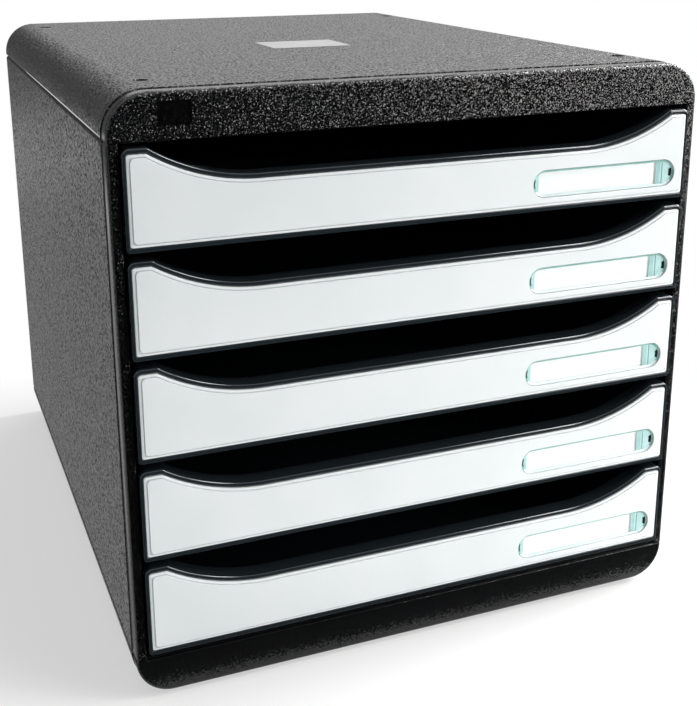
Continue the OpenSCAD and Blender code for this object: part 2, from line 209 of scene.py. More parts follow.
# %% [markdown]
# ## Casing: black polystyrene from a spark-eroded mould
# Spark erosion leaves the mould pitted, so the plastic has a fine grain that
# breaks every reflection into specks. The plastic itself is almost black. What
# looks grey on the top and sides is the room, mirrored by a rough surface that
# is seen at a very low angle, and on the front only single facets catch a lamp.
# A bump map fades out on a surface that is seen edge-on, so the grain tilts the
# surface's normal instead. The top and the sides get the stronger tilt, because
# they mirror an even room, which a small tilt hardly changes.

# %% Grain
# Blotch sizes in mm, coarser than the real grain so that it shows
FRONT_GRAIN, REST_GRAIN = 0.7, 1.15
FRONT_TILT, REST_TILT = 2.3, 5.5
FRONT_ROUGH, REST_ROUGH = 0.22, 0.34
FRONT_DEPTH = 1.2      # so far round the front edge the front's grain reaches


def above(tree, value, limit):
    """1 where value is above limit millimetres, 0 elsewhere."""
    return maths(tree, "GREATER_THAN", value, limit * MM)


def both(tree, first, second):
    return maths(tree, "MULTIPLY", first, second)


def either(tree, first, second):
    return maths(tree, "MAXIMUM", first, second)


def inverse(tree, value):
    return maths(tree, "SUBTRACT", 1.0, value)


def within(tree, value, low, high):
    """1 where value lies between two lengths in millimetres, 0 elsewhere."""
    return both(tree, above(tree, value, low), inverse(tree, above(tree, value, high)))


def place_of(tree):
    place = add(tree, "ShaderNodeTexCoord").outputs["Object"]
    return add(tree, "ShaderNodeSeparateXYZ", {"Vector": place}).outputs


def tilted_normal(tree, scale, amount):
    """The surface's normal, tilted every way by noise with scale blotches a metre."""
    place = add(tree, "ShaderNodeTexCoord").outputs["Object"]
    cloud = add(tree, "ShaderNodeTexNoise", {
        "Vector": place, "Scale": scale, "Detail": 2.0, "Roughness": 0.7})
    lean = add(tree, "ShaderNodeVectorMath", {
        0: cloud.outputs["Color"], 1: (0.5, 0.5, 0.5)}, operation="SUBTRACT")
    scaled = add(tree, "ShaderNodeVectorMath", {
        0: lean.outputs[0], "Scale": amount}, operation="SCALE")
    normal = add(tree, "ShaderNodeNewGeometry").outputs["Normal"]
    leaning = add(tree, "ShaderNodeVectorMath", {
        0: normal, 1: scaled.outputs[0]}, operation="ADD")
    return add(tree, "ShaderNodeVectorMath", {
        0: leaning.outputs[0]}, operation="NORMALIZE").outputs[0]


print("grain", FRONT_GRAIN, "and", REST_GRAIN, "mm")

# %% [markdown]
# A smoother strip runs round the casing, from its front edge to a small step
# 9 mm back. The cover's lower edge was polished in the mould and shows as a thin
# bright line along the seam, and the front band has one smooth square field. All
# three places are told by their distance from the front, the middle and the desk.

# %% Casing materials
STRIP = (2.0, 9.0)             # behind the front face
SEAM_TOP = 251.0
POLISHED_EDGE = (1.0, 1.9)     # above the seam
EDGE_REACH = 0.4               # how far the polished edge lies inside the outer face
HALF_W = casing_high.x
FIELD_X, FIELD_Z = (-118.0, -104.0), (257.0, 267.0)    # in the front band
STRIP_ROUGH, EDGE_ROUGH, FIELD_ROUGH = 0.24, 0.05, 0.12
BASE_FRONT_ROUGH, BASE_REST_ROUGH = 0.22, 0.3
BASE_IOR, BASE_TILT = 1.46, 0.35       # the tilt is a share of the casing's


def polished_places(tree):
    """For strip, edge and field: 1 on that place, 0 elsewhere."""
    x, y, z = (place_of(tree)[axis] for axis in "XYZ")
    strip = within(tree, y, *(casing_front + d for d in STRIP))
    edge = both(tree, above(tree, maths(tree, "ABSOLUTE", x), HALF_W - EDGE_REACH),
                within(tree, z, *(SEAM_TOP + d for d in POLISHED_EDGE)))
    square = both(tree, within(tree, x, *FIELD_X), within(tree, z, *FIELD_Z))
    on_front = inverse(tree, above(tree, y, casing_front + FRONT_DEPTH))
    return strip, edge, both(tree, square, on_front)


def grained_plastic(name, colours, roughs, ior=1.59, tilt_share=1.0):
    """Black plastic with a tilted grain, but for its polished places."""
    material, tree, shader = finish_of(name, IOR=ior)
    blotches = ramp(tree, noise(tree, FRONT_GRAIN, detail=3, rough=0.7), [
        (0.42, linear(colours[0])), (0.72, linear(colours[1]))])
    tree.links.new(blotches, shader.inputs["Base Color"])
    strip, edge, field = polished_places(tree)
    grainy = inverse(tree, either(tree, either(tree, strip, edge), field))
    behind = above(tree, place_of(tree)["Y"], casing_front + FRONT_DEPTH)
    tilt = mixed_number(tree, behind, FRONT_TILT * tilt_share, REST_TILT * tilt_share)
    scale = mixed_number(tree, behind, 1 / (FRONT_GRAIN * MM), 1 / (REST_GRAIN * MM))
    leaning = tilted_normal(tree, scale, both(tree, tilt, grainy))
    tree.links.new(leaning, shader.inputs["Normal"])
    rough = mixed_number(tree, behind, *roughs)
    for place, value in (
            (strip, STRIP_ROUGH), (edge, EDGE_ROUGH), (field, FIELD_ROUGH)):
        rough = mixed_number(tree, place, rough, value)
    tree.links.new(rough, shader.inputs["Roughness"])
    return material


casing_plastic = grained_plastic(
    "spark_eroded_black_polystyrene", ("#040405", "#161617"), (FRONT_ROUGH, REST_ROUGH))
base_plastic = grained_plastic(
    "fine_grained_black_polystyrene", ("#0d0e0f", "#141516"),
    (BASE_FRONT_ROUGH, BASE_REST_ROUGH), BASE_IOR, BASE_TILT)
coat("back_panel", casing_plastic)
print("casing: strip from", STRIP[0], "to", STRIP[1], "mm behind the front face")

# %% [markdown]
# ## Trays: glossy smoke-black polystyrene
# The trays come from a polished mould, so their skin is smooth and mirrors the
# lamps as thin lines along every rolled edge. A very slight waviness, which
# shrinking leaves behind, keeps those lines from looking ruled.

# %% Tray, insert, window, label and foot materials
tray_plastic, tree, shader = finish_of(
    "polished_smoke_polystyrene",
    Base_Color=linear("#20272b"), Roughness=0.08, IOR=1.59)
bump(tree, shader, noise(tree, 18), 0.03, 0.35)

insert_plastic, tree, shader = mottled(
    "satin_white_abs", 40, ("#e4e9ea", "#eaeeef"),
    Roughness=0.22, Coat_Weight=0.25, Coat_Roughness=0.06)
bump(tree, shader, noise(tree, 7), 0.02, 0.3)

margin_plastic, tree, shader = finish_of(
    "polished_white_abs", Base_Color=linear("#e9edee"), Roughness=0.12)
bump(tree, shader, noise(tree, 9), 0.02, 0.3)

window_clear, tree, shader = finish_of(
    "clear_acrylic", Base_Color=linear("#eefaf9"), Roughness=0.05, Alpha=0.12)
bump(tree, shader, noise(tree, 9), 0.02, 0.2)

window_edge = mottled(
    "teal_acrylic_edge", 6, ("#84aea6", "#97bfb8"), Roughness=0.15)[0]
window_end = mottled(
    "pale_teal_acrylic", 5, ("#b1d6d4", "#c0e1e0"), Roughness=0.18)[0]
# Painted light: a paler copy of the teal edge for the border's lower run, as if light
# from above fell on it
window_painted_lit_edge = mottled(
    "painted_lit_acrylic_edge", 6, ("#d9ecea", "#e6f4f3"), Roughness=0.15)[0]

label_paper, tree, shader = mottled(
    "uncoated_white_card", 0.5, ("#f8f8f7", "#ffffff"), detail=4, Roughness=0.85)
bump(tree, shader, noise(tree, 0.4, detail=3), 0.02, 0.4)
for n in DRAWERS:
    coat(f"drawer_{n}_label", label_paper)

foot_rubber, tree, shader = finish_of(
    "moulded_black_rubber", Base_Color=linear("#191919"), Roughness=0.8)
bump(tree, shader, noise(tree, 0.6, detail=2), 0.05, 0.5)
coat("rubber_feet", foot_rubber)
print("materials:", len(bpy.data.materials))

# %% [markdown]
# ## Outlines of a drawer front
# Every edge of a front follows one outline: round lower corners, rounded ears,
# and between the ears the smile-shaped finger cut-out, which is two arcs on each
# side of a straight middle. One function draws it, drawn in by any amount, always
# with the same number of points. Rings that match point for point can be joined
# by plain quads, so rims, steps and bevels all come from lofting such rings.

# %% The front outline
FRONT_W = 266.4
SMILE_W = 246.0        # between the ears
SMILE_DROP = 13.5
SMILE_R = 84.0         # the sweeping ends
EAR_R = 3.4            # the turn from sweep to ear
EAR_CORNER = 3.0
LOW_CORNER = 1.5
LEAST_R = 0.4
LOW_STEPS, EAR_STEPS, TURN_STEPS, SWEEP_STEPS = 6, 10, 8, 36
smile_flat = SMILE_W / 2 - math.sqrt(SMILE_R ** 2 - (SMILE_R - SMILE_DROP) ** 2)


def arc(cx, cz, rx, rz, start, end, steps):
    """Points of an arc from start to end degrees, both ends included."""
    turns = [math.radians(start + (end - start) * i / steps) for i in range(steps + 1)]
    return [(cx + rx * math.cos(t), cz + rz * math.sin(t)) for t in turns]


def front_outline(side, bottom, top, least=LEAST_R):
    """[(x, z, share of the top)], from the lower right corner round to the left."""
    half = FRONT_W / 2 - side
    low_x, low_z = (max(LOW_CORNER - d, least) for d in (side, bottom))
    ear_x, ear_z = (max(EAR_CORNER - d, least) for d in (side, top))
    turn = max(EAR_R - top, LEAST_R)
    reach = SMILE_R + top + turn
    lean = math.degrees(math.acos((reach - SMILE_DROP) / reach))
    turn_x = smile_flat + reach * math.sin(math.radians(lean))
    turn_z = front_h - top - turn
    centre_z = front_h - SMILE_DROP + SMILE_R
    sweep = SMILE_R + top
    right = arc(half - low_x, bottom + low_z, low_x, low_z, 270, 360, LOW_STEPS)
    corner = arc(half - ear_x, front_h - top - ear_z, ear_x, ear_z, 0, 90, EAR_STEPS)
    upper = arc(turn_x, turn_z, turn, turn, 90, 90 + lean, TURN_STEPS)
    upper += arc(smile_flat, centre_z, sweep, sweep, lean - 90, -90, SWEEP_STEPS)
    half_ring = [(x, z, 0.0) for x, z in right]
    half_ring += [(x, z, i / (len(corner) - 1)) for i, (x, z) in enumerate(corner)]
    half_ring += [(x, z, 1.0) for x, z in upper]
    mirrored = [(-x, z, w) for x, z, w in reversed(half_ring)]
    return half_ring + mirrored


print("outline points:", len(front_outline(0, 0, 0)))

# %% [markdown]
# ## Lofting rings
# A ring is a closed row of points. bridge joins two rings with quads. loft
# bridges a list of rings and closes the first and the last with one face each,
# which makes a closed solid, whose faces bmesh can turn outwards by itself.

# %% Ring helpers
def new_ring(mesh, points):
    return [mesh.verts.new(Vector(p) * MM) for p in points]


def bridge(mesh, first, second):
    for i in range(len(first)):
        j = (i + 1) % len(first)
        mesh.faces.new((first[i], first[j], second[j], second[i]))


def loft(mesh, rings):
    """Joins a list of point rings, and closes the first and the last."""
    rows = [new_ring(mesh, points) for points in rings]
    for first, second in zip(rows, rows[1:]):
        bridge(mesh, first, second)
    mesh.faces.new(rows[0])
    mesh.faces.new(rows[-1])


def mesh_data(mesh, name):
    """The plain mesh of a bmesh, which is freed."""
    data = bpy.data.meshes.new(name)
    mesh.to_mesh(data)
    mesh.free()
    return data


def finished(mesh, name, materials, sharp=40):
    """Turns a bmesh into an object with outward faces and even highlights."""
    bmesh.ops.recalc_face_normals(mesh, faces=mesh.faces)
    data = mesh_data(mesh, name)
    data.shade_smooth()
    data.set_sharp_from_angle(angle=math.radians(sharp))
    piece = placed(name, data)
    for material in materials:
        data.materials.append(material)
    evener = piece.modifiers.new("even_highlights", "WEIGHTED_NORMAL")
    evener.keep_sharp = True
    return piece


print("ring helpers ready")

# %% [markdown]
# ## The step round the casing's front
# The casing's first 9 mm lie a little lower than the rest, so that its low front
# part ends in a small step, which shows as a fine black line even from a low
# angle. The cover's front face turns into this strip over a soft round edge. The
# plain solids have a groove and a tighter edge there. A copy of each shell gets
# its loose triangles merged, and then the points near the front are moved in, by
# their distance from the shell's outer outline.

# %% Shells with a stepped front
STEP = 0.4             # how much lower the strip lies
STEP_REACH = 9.0
SOLID_EDGE_R = 0.6     # of the solid's front edge
SOFT_EDGE_R = 2.3      # of the cover's
SOFT_FROM, SOFT_TO = 1.2, 6.0      # above the seam, where the soft edge fades in
COVER_R, BASE_R = 18.0, 17.0       # the rolled long edges
BASE_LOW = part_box("base_shell")[0].z / MM
SHELL_H = 100.0        # more than a shell's height: nothing is moved on its open side
NEAR = 0.03            # what still counts as on a face
MERGE, FLAT_ANGLE = 0.002, 0.5     # mm between merged points, degrees of a flat edge


def nearest_side(x, z, low, high, roll):
    """How far a point lies inside a shell's outline, and the way straight out."""
    sign = 1 if x > 0 else -1
    flat = HALF_W - roll
    upper = z > (low + high) / 2
    if roll and abs(x) > flat and not low + roll < z < high - roll:
        centre = Vector((sign * flat, high - roll if upper else low + roll))
        out = Vector((x, z)) - centre
        return roll - out.length, out.normalized()
    sides = [(HALF_W - abs(x), Vector((sign, 0)))]
    if roll:
        sides.append((high - z, Vector((0, 1))) if upper
                     else (z - low, Vector((0, -1))))
    return min(sides, key=lambda side: side[0])


def stepped_front(node, low, high, roll, soft):
    """A merged copy of one shell, with its strip stepped in and its edge softened."""
    mesh = bmesh.new()
    mesh.from_mesh(nodes[node].data)
    bmesh.ops.remove_doubles(mesh, verts=mesh.verts, dist=MERGE * MM)
    bmesh.ops.dissolve_limit(mesh, angle_limit=math.radians(FLAT_ANGLE),
                             verts=mesh.verts, edges=mesh.edges)
    for vertex in mesh.verts:
        x, y, z = vertex.co / MM
        depth = y - casing_front
        inset, out = nearest_side(x, z, low, high, roll)
        if depth > STEP_REACH + NEAR or inset > SOLID_EDGE_R + NEAR:
            continue
        if inset > SOLID_EDGE_R - NEAR and depth > SOLID_EDGE_R:
            continue
        if soft and depth < SOLID_EDGE_R + NEAR:
            share = min(max((z - SEAM_TOP - SOFT_FROM) / (SOFT_TO - SOFT_FROM), 0), 1)
            grown = 1 + (SOFT_EDGE_R / SOLID_EDGE_R - 1) * share
            y = casing_front + depth * grown
            x, z = Vector((x, z)) - out * inset * (grown - 1)
        x, z = Vector((x, z)) - out * STEP
        vertex.co = Vector((x, y, z)) * MM
    return mesh


cover_span = (SEAM_TOP - SHELL_H, casing_high.z, COVER_R)
base_span = (BASE_LOW, BASE_LOW + SHELL_H, BASE_R)
no_roll = (0, 0, 0)
for node, span, material, slot in (
        ("top_cover", cover_span, casing_plastic, "casing_plastic"),
        ("base_shell", base_span, base_plastic, "base_plastic"),
        ("left_side_panel", no_roll, casing_plastic, "casing_plastic"),
        ("right_side_panel", no_roll, casing_plastic, "casing_plastic")):
    mesh = stepped_front(node, *span, soft=node == "top_cover")
    shell = finished(mesh, node + "_skin", [material], sharp=35)
    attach(shell, CASING)
    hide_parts(node)
    print(shell.name, len(shell.data.polygons), "faces")

# %% [markdown]
# ## Tray mouldings
# Each tray is one moulding: a front with a rim round its pocket, a finger lip
# rolled over along the smile, and an open tray behind. The front is a loft whose
# section is written once for the sides and once for the top, because the lip
# reaches further back than the rim. In the ears' corners one section turns into
# the other, by the share of the top that the outline gives for each point.

# %% Front section
LIP_T = 2.2            # thickness of the finger lip, at its roll
LIP_WEB = 1.54         # and of the web behind the roll
LIP_D = 9.4            # from the rim to the rear edge of the lip
BORDER_SIDE, BORDER_BOTTOM = 1.3, 2.1
WALL_BACK = 4.2        # rear face of the front wall, behind the rim
BACK_BEVEL = 0.4       # of that wall's rear edges
BACK_STEP = 0.25       # from one station to the next, on the front's sides
POCKET = pocket_y - rim_y
ROLL_OUT, ROLL_IN = 0.55, 0.35         # radii of the rim's outer and inner edge
ROLL_STEPS = 10
LIP_BEAD = [           # (from the lip's top face, before its rear edge)
    (LIP_WEB, 1.2), (1.76, 0.9), (1.7, 0.45), (1.32, 0.1),
    (0.88, 0.0), (0.4, 0.14), (0.09, 0.5), (0.0, 0.95)]
LAST_FLAT = (1.6, 4.0)                 # where the side's and the top's rolls begin


def front_section():
    """Stations from the rear face round the edge into the pocket.

    Each has the insets of side, bottom and top, and the depths of side and top.
    """
    stations = [(BACK_BEVEL, BACK_BEVEL, LIP_WEB, WALL_BACK, WALL_BACK)]
    for i, (inset, before) in enumerate(LIP_BEAD):
        side_depth = WALL_BACK - BACK_BEVEL - BACK_STEP * i
        stations.append((0.0, 0.0, inset, side_depth, LIP_D - before))
    stations.append((0.0, 0.0, 0.0, *LAST_FLAT))
    nose = LIP_T / 2
    half = ROLL_STEPS // 2
    for i in range(ROLL_STEPS + 1):
        turn = math.pi * i / ROLL_STEPS
        top, top_depth = nose * (1 - math.cos(turn)), nose * (1 - math.sin(turn))
        if i <= half:
            lean = math.pi / 2 * i / half
            side = bottom = ROLL_OUT * (1 - math.cos(lean))
            depth = ROLL_OUT * (1 - math.sin(lean))
        else:
            lean = math.pi / 2 * (i - half - 1) / (half - 1)
            side = BORDER_SIDE - ROLL_IN * (1 - math.sin(lean))
            bottom = BORDER_BOTTOM - ROLL_IN * (1 - math.sin(lean))
            depth = ROLL_IN * (1 - math.cos(lean))
        stations.append((side, bottom, top, depth, top_depth))
    stations.append((BORDER_SIDE, BORDER_BOTTOM, LIP_T, POCKET, POCKET))
    return stations


def front_ring(n, side, bottom, top, side_depth, top_depth):
    return [
        (x, rim_y + side_depth + (top_depth - side_depth) * share, drawer_z[n] + z)
        for x, z, share in front_outline(side, bottom, top)
    ]


print("front section:", len(front_section()), "stations")

# %% [markdown]
# The tray behind the front has walls of even thickness, so its section is a
# closed U: down the outside, up the inside, and round over both rims. The
# section runs back along the tray, and in the two rear corners it draws in on a
# quarter circle until both sides meet in the rear wall.

# %% Tray section and its run
TRAY_W = 259.2
TRAY_TOP = front_h - 3.0       # the walls end this far below the ears
FLOOR_Z = 0.8
TRAY_WALL = 1.8
TRAY_CORNER, LEAST_CORNER = 4.0, 1.2   # of the long lower edges, outside and inside
TRAY_CORNER_STEPS = 6
RIM_ROLL, RIM_STEPS = 0.6, 6
REAR_R, REAR_STEPS = 5.0, 8    # the upright rear corners
SINK = 0.4                     # the tray starts this far inside the front wall
tray_start = rim_y + WALL_BACK - SINK
tray_rear = tray_high.y


def u_line(inset, z_top):
    """Half of the U from the left rim down to the middle of the floor, mirrored."""
    half = TRAY_W / 2 - inset
    r = max(TRAY_CORNER - inset, LEAST_CORNER)
    floor = FLOOR_Z + inset
    left = [(-half, z_top), (-half, (z_top + floor) / 2)]
    left += arc(-half + r, floor + r, r, r, 180, 270, TRAY_CORNER_STEPS)
    left += [(-half / 2, floor), (0, floor)]
    return left + [(-x, z) for x, z in reversed(left[:-1])]


def tray_ring(n, out_inset, out_y, in_inset, in_y):
    """One closed section: the outside, the right rim, the inside, the left rim."""
    outer = u_line(out_inset, TRAY_TOP - RIM_ROLL)
    inner = u_line(TRAY_WALL + in_inset, TRAY_TOP - RIM_ROLL)
    ring = [(x, out_y, z) for x, z in outer]
    x_out, x_in = outer[-1][0], inner[-1][0]
    rim = []
    for i in range(1, RIM_STEPS):
        turn = math.pi * i / RIM_STEPS
        share = (1 - math.cos(turn)) / 2
        rim.append((x_out + (x_in - x_out) * share, out_y + (in_y - out_y) * share,
                    TRAY_TOP - RIM_ROLL * (1 - math.sin(turn))))
    ring += rim
    ring += [(x, in_y, z) for x, z in reversed(inner)]
    ring += [(-x, y, z) for x, y, z in reversed(rim)]
    return [(x, y, drawer_z[n] + z) for x, y, z in ring], len(outer), len(rim)


def tray_body(mesh, n):
    """Lofts the U from the front wall back to the rear wall, and closes its ends."""
    middle = (tray_start + tray_rear) / 2
    places = [(0, tray_start, 0, tray_start), (0, middle, 0, middle)]
    inner_r = REAR_R - TRAY_WALL
    inner_rear = tray_rear - TRAY_WALL
    for i in range(REAR_STEPS + 1):
        turn = math.pi / 2 * i / REAR_STEPS
        across, along = 1 - math.cos(turn), 1 - math.sin(turn)
        places.append((REAR_R * across, tray_rear - REAR_R * along,
                       inner_r * across, inner_rear - inner_r * along))
    rows = []
    for place in places:
        points, n_line, n_rim = tray_ring(n, *place)
        rows.append(new_ring(mesh, points))
    for first, second in zip(rows, rows[1:]):
        bridge(mesh, first, second)
    mesh.faces.new(rows[0])
    last = rows[-1]
    mesh.faces.new(last[:n_line])
    mesh.faces.new(last[n_line + n_rim:2 * n_line + n_rim])
    right = last[n_line - 1:n_line + n_rim + 1]
    left = [last[0]] + last[:-n_rim - 2:-1]
    for i in range(len(right) - 1):
        mesh.faces.new((right[i], right[i + 1], left[i + 1], left[i]))


print(f"tray: {TRAY_W} mm wide, rear wall at y {tray_rear:.1f}")

# %% [markdown]
# A flange along each side hangs the tray on the casing's ledges. When the drawer
# is fully out, a stop lug on the flange meets the post. Flange and lug are one
# flat outline that is given a thickness and softened edges.

# %% Runner flanges
FLANGE_W, FLANGE_T = 3.4, 1.8
LUG_W, LUG_L = 2.4, 8.0
POST_D, FIT, TRAVEL = 6.0, 0.3, 235.0  # a post's depth, its gap to the lug, the way
SOFT_EDGE = 0.3
lug_y = casing_front + POST_D + FIT + TRAVEL


def slab(mesh, outline, low, high):
    """A flat outline in X and Y from z = low to high, with softened edges."""
    lower = new_ring(mesh, [(x, y, low) for x, y in outline])
    upper = new_ring(mesh, [(x, y, high) for x, y in outline])
    before = set(mesh.edges)
    bridge(mesh, lower, upper)
    mesh.faces.new(lower)
    mesh.faces.new(upper)
    edges = [edge for edge in mesh.edges if edge not in before]
    bmesh.ops.bevel(mesh, geom=edges, offset=SOFT_EDGE * MM, segments=2,
                    affect="EDGES", profile=0.5, clamp_overlap=True)


def flange(mesh, n, side):
    root, edge = TRAY_W / 2 - SINK, TRAY_W / 2 + FLANGE_W
    outline = [
        (root, tray_start), (edge, tray_start), (edge, lug_y), (edge + LUG_W, lug_y),
        (edge + LUG_W, lug_y + LUG_L), (edge, lug_y + LUG_L),
        (edge, tray_rear - REAR_R), (root, tray_rear - REAR_R)]
    top = drawer_z[n] + TRAY_TOP
    slab(mesh, [(side * x, y) for x, y in outline], top - FLANGE_T, top)


print(f"flanges {FLANGE_W} mm wide")

# %% [markdown]
# The label window is held by two dark clips of the tray moulding, which come
# through it at its ends. Each follows the window's round end, so it is made from
# two arcs of one centre.

# %% Window clips, then the five mouldings
label_x = (window_low.x + window_high.x) / 2
label_z = (window_low.z + window_high.z) / 2 - tray_low.z
WINDOW_W = window_high.x - window_low.x
WINDOW_H = window_high.z - window_low.z
WINDOW_T = window_high.y - window_low.y
window_y = window_low.y
CLIP_W = {1: 1.5, -1: 0.5}     # right and left
CLIP_INSET = 0.7               # from the window's outer edge
CLIP_SPAN, CLIP_STEPS = 22, 10         # degrees above and below the window's middle
CLIP_ROOT, CLIP_FACE = 0.2, 0.3        # inside the tray, behind the window's face


def clip(mesh, n, side):
    """One clip, on the right for side = 1 and on the left for side = -1."""
    outer = WINDOW_H / 2 - CLIP_INSET
    inner = outer - CLIP_W[side]
    centre = label_x + side * (WINDOW_W - WINDOW_H) / 2
    level = 0 if side > 0 else 180
    down, up = level - CLIP_SPAN, level + CLIP_SPAN
    outline = (arc(0, 0, outer, outer, down, up, CLIP_STEPS)
               + arc(0, 0, inner, inner, up, down, CLIP_STEPS))
    loft(mesh, [
        [(centre + x, y, drawer_z[n] + label_z + z) for x, z in outline]
        for y in (pocket_y + CLIP_ROOT, window_y + CLIP_FACE)])


for n in DRAWERS:
    mesh = bmesh.new()
    loft(mesh, [front_ring(n, *station) for station in front_section()])
    tray_body(mesh, n)
    for side in (-1, 1):
        flange(mesh, n, side)
        clip(mesh, n, side)
    moulding = finished(mesh, f"drawer_{n}_moulding", [tray_plastic])
    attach(moulding, f"drawer_{n}")
    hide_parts(f"drawer_{n}_tray")
print("moulding:", len(moulding.data.vertices), "vertices each")

# %% [markdown]
# ## White inserts
# Each insert is a glossy white plate pressed into the front. Its polished margin
# slopes a little towards the edge, a fine groove parts it from the raised field,
# and a slot with round ends is cut through for the label window. The rings of
# margin, groove and field come from the same outline as the front. The flat faces
# round the slot are filled between two rings, which one face alone can't do.

# %% Inserts
SLOT_W, SLOT_H = 76.6, 12.9
GAP = 0.15             # round the insert in its pocket
INSERT_T = insert_high.y - insert_low.y
MARGIN = [             # (further inset, depth behind the field)
    (0.0, INSERT_T), (0.0, 0.80), (0.08, 0.62), (0.28, 0.52), (1.08, 0.34),
    (1.12, 0.80), (1.42, 0.80), (1.46, 0.30), (1.50, 0.08), (1.60, 0.0)]
POLISHED_ROWS = 5      # how many of these steps belong to the polished margin
SLOT = [               # (wider, depth behind the field)
    (0.25, 0.0), (0.08, 0.06), (0.0, 0.22), (0.0, INSERT_T)]
MARGIN_R, FIELD_R = 1.0, 1.6   # least corner radii
FIELD_FROM = 1.2               # rings that lie further in belong to the field


def stadium(cx, cz, w, h, steps=16):
    r = h / 2
    return (arc(cx + w / 2 - r, cz, r, r, -90, 90, steps)
            + arc(cx - w / 2 + r, cz, r, r, 90, 270, steps))


def ring_edges(mesh, row):
    return [mesh.edges.get((row[i], row[(i + 1) % len(row)])) for i in range(len(row))]


for n in DRAWERS:
    mesh = bmesh.new()
    rows, slot_rows = [], []
    base = drawer_z[n]
    for further, depth in MARGIN:
        inset, y = GAP + further, insert_y + depth
        ring = front_outline(
            BORDER_SIDE + inset, BORDER_BOTTOM + inset, LIP_T + inset,
            least=MARGIN_R if further < FIELD_FROM else FIELD_R)
        rows.append(new_ring(mesh, [(x, y, base + z) for x, z, _ in ring]))
    for wider, depth in SLOT:
        ring = stadium(label_x, base + label_z, SLOT_W + 2 * wider, SLOT_H + 2 * wider)
        slot_rows.append(new_ring(mesh, [(x, insert_y + depth, z) for x, z in ring]))
    for first, second in zip(rows, rows[1:]):
        bridge(mesh, first, second)
    for face in list(mesh.faces)[:POLISHED_ROWS * len(rows[0])]:
        face.material_index = 1
    for first, second in zip(slot_rows, slot_rows[1:]):
        bridge(mesh, first, second)
    for outer, inner in ((rows[-1], slot_rows[0]), (rows[0], slot_rows[-1])):
        edges = ring_edges(mesh, outer) + ring_edges(mesh, inner)
        bmesh.ops.triangle_fill(mesh, edges=edges, use_beauty=True)
    insert = finished(
        mesh, f"drawer_{n}_white_insert", [insert_plastic, margin_plastic], sharp=50)
    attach(insert, f"drawer_{n}")
    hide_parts(f"drawer_{n}_insert")
print("insert:", len(insert.data.polygons), "faces each")

# %% [markdown]
# ## Label windows
# A window is one clear moulding with a teal tinge at its edges: a dished border
# all round, a clear plate over the paper label, and closed ends. The border's
# lower run is painted paler than the rest, as light from above would make it.
# Fine upright ribs and a groove mark the end from which the label is pulled out.
# The border follows a path and the ribs repeat, so Geometry Nodes make both, from
# sizes that stay open as inputs. The flat plates are plain outlines between them.

# %% Geometry Nodes tree for a window's border and ribs
BORDER = 0.9
DISH = 0.5             # how deep the plates lie behind the border
RIBS, RIB_PITCH, RIB_W = 4, 0.62, 0.22
RIB_START = 0.4        # from the band's left edge to the first rib
LABEL_LAP = 0.8        # how far the ribbed band reaches over the label
BAND_LEFT = label_high.x - label_x - LABEL_LAP
FILLET_STEPS = 14
FILLET_SHARE = 0.4999  # of the height, just short of the half where fillets meet

WINDOW_SIZES = {       # the tree's open inputs, lengths in metres
    "Width": WINDOW_W * MM, "Height": WINDOW_H * MM, "Border": BORDER * MM,
    "Dish": DISH * MM, "Thickness": WINDOW_T * MM, "Rib pitch": RIB_PITCH * MM,
    "Rib width": RIB_W * MM, "Ribs start": (BAND_LEFT + RIB_START) * MM,
    "Ribs": RIBS,
}


def window_tree():
    """The node tree, with one input for each size and one geometry output."""
    tree = bpy.data.node_groups.new("window_border_and_ribs", "GeometryNodeTree")
    for name, value in WINDOW_SIZES.items():
        kind = "NodeSocketInt" if isinstance(value, int) else "NodeSocketFloat"
        tree.interface.new_socket(name, in_out="INPUT", socket_type=kind)
    tree.interface.new_socket(
        "Geometry", in_out="OUTPUT", socket_type="NodeSocketGeometry")
    given = tree.nodes.new("NodeGroupInput").outputs

    def point(x, y, z=0.0):
        return add(tree, "ShaderNodeCombineXYZ", {0: x, 1: y, 2: z}).outputs[0]

    inwards = maths(tree, "MULTIPLY", given["Border"], -1.0)
    path = add(tree, "GeometryNodeCurvePrimitiveQuadrilateral", {
        "Width": given["Width"], "Height": given["Height"]})
    rounded = add(tree, "GeometryNodeFilletCurve", {
        "Curve": path.outputs[0], "Count": FILLET_STEPS, "Limit Radius": True,
        "Radius": maths(tree, "MULTIPLY", given["Height"], FILLET_SHARE)}, mode="POLY")
    section = add(tree, "GeometryNodeCurvePrimitiveQuadrilateral", {
        "Point 1": point(0.0, 0.0), "Point 2": point(inwards, given["Dish"]),
        "Point 3": point(inwards, given["Thickness"]),
        "Point 4": point(0.0, given["Thickness"])}, mode="POINTS")
    border = add(tree, "GeometryNodeCurveToMesh", {
        "Curve": rounded.outputs[0], "Profile Curve": section.outputs[0]})
    border_done = add(tree, "GeometryNodeSetMaterial", {
        "Geometry": border.outputs[0], "Material": window_edge})

    two_borders = maths(tree, "MULTIPLY", given["Border"], 2.0)
    rib_h = maths(tree, "SUBTRACT", given["Height"], two_borders)
    rib = add(tree, "GeometryNodeMeshCube", {
        "Size": point(given["Rib width"], rib_h, given["Rib width"])})
    rib_z = maths(tree, "MULTIPLY", given["Dish"], -1.0)
    places = add(tree, "GeometryNodeMeshLine", {
        "Count": given["Ribs"],
        "Start Location": point(given["Ribs start"], 0.0, rib_z),
        "Offset": point(given["Rib pitch"], 0.0)})
    ribs = add(tree, "GeometryNodeInstanceOnPoints", {
        "Points": places.outputs[0], "Instance": rib.outputs["Mesh"]})
    ribs_done = add(tree, "GeometryNodeSetMaterial", {
        "Geometry": ribs.outputs[0], "Material": window_end})

    joined = add(tree, "GeometryNodeJoinGeometry")
    tree.links.new(ribs_done.outputs[0], joined.inputs[0])
    tree.links.new(border_done.outputs[0], joined.inputs[0])
    real = add(tree, "GeometryNodeRealizeInstances", {"Geometry": joined.outputs[0]})
    out = add(tree, "NodeGroupOutput")
    tree.links.new(real.outputs[0], out.inputs[0])
    return tree


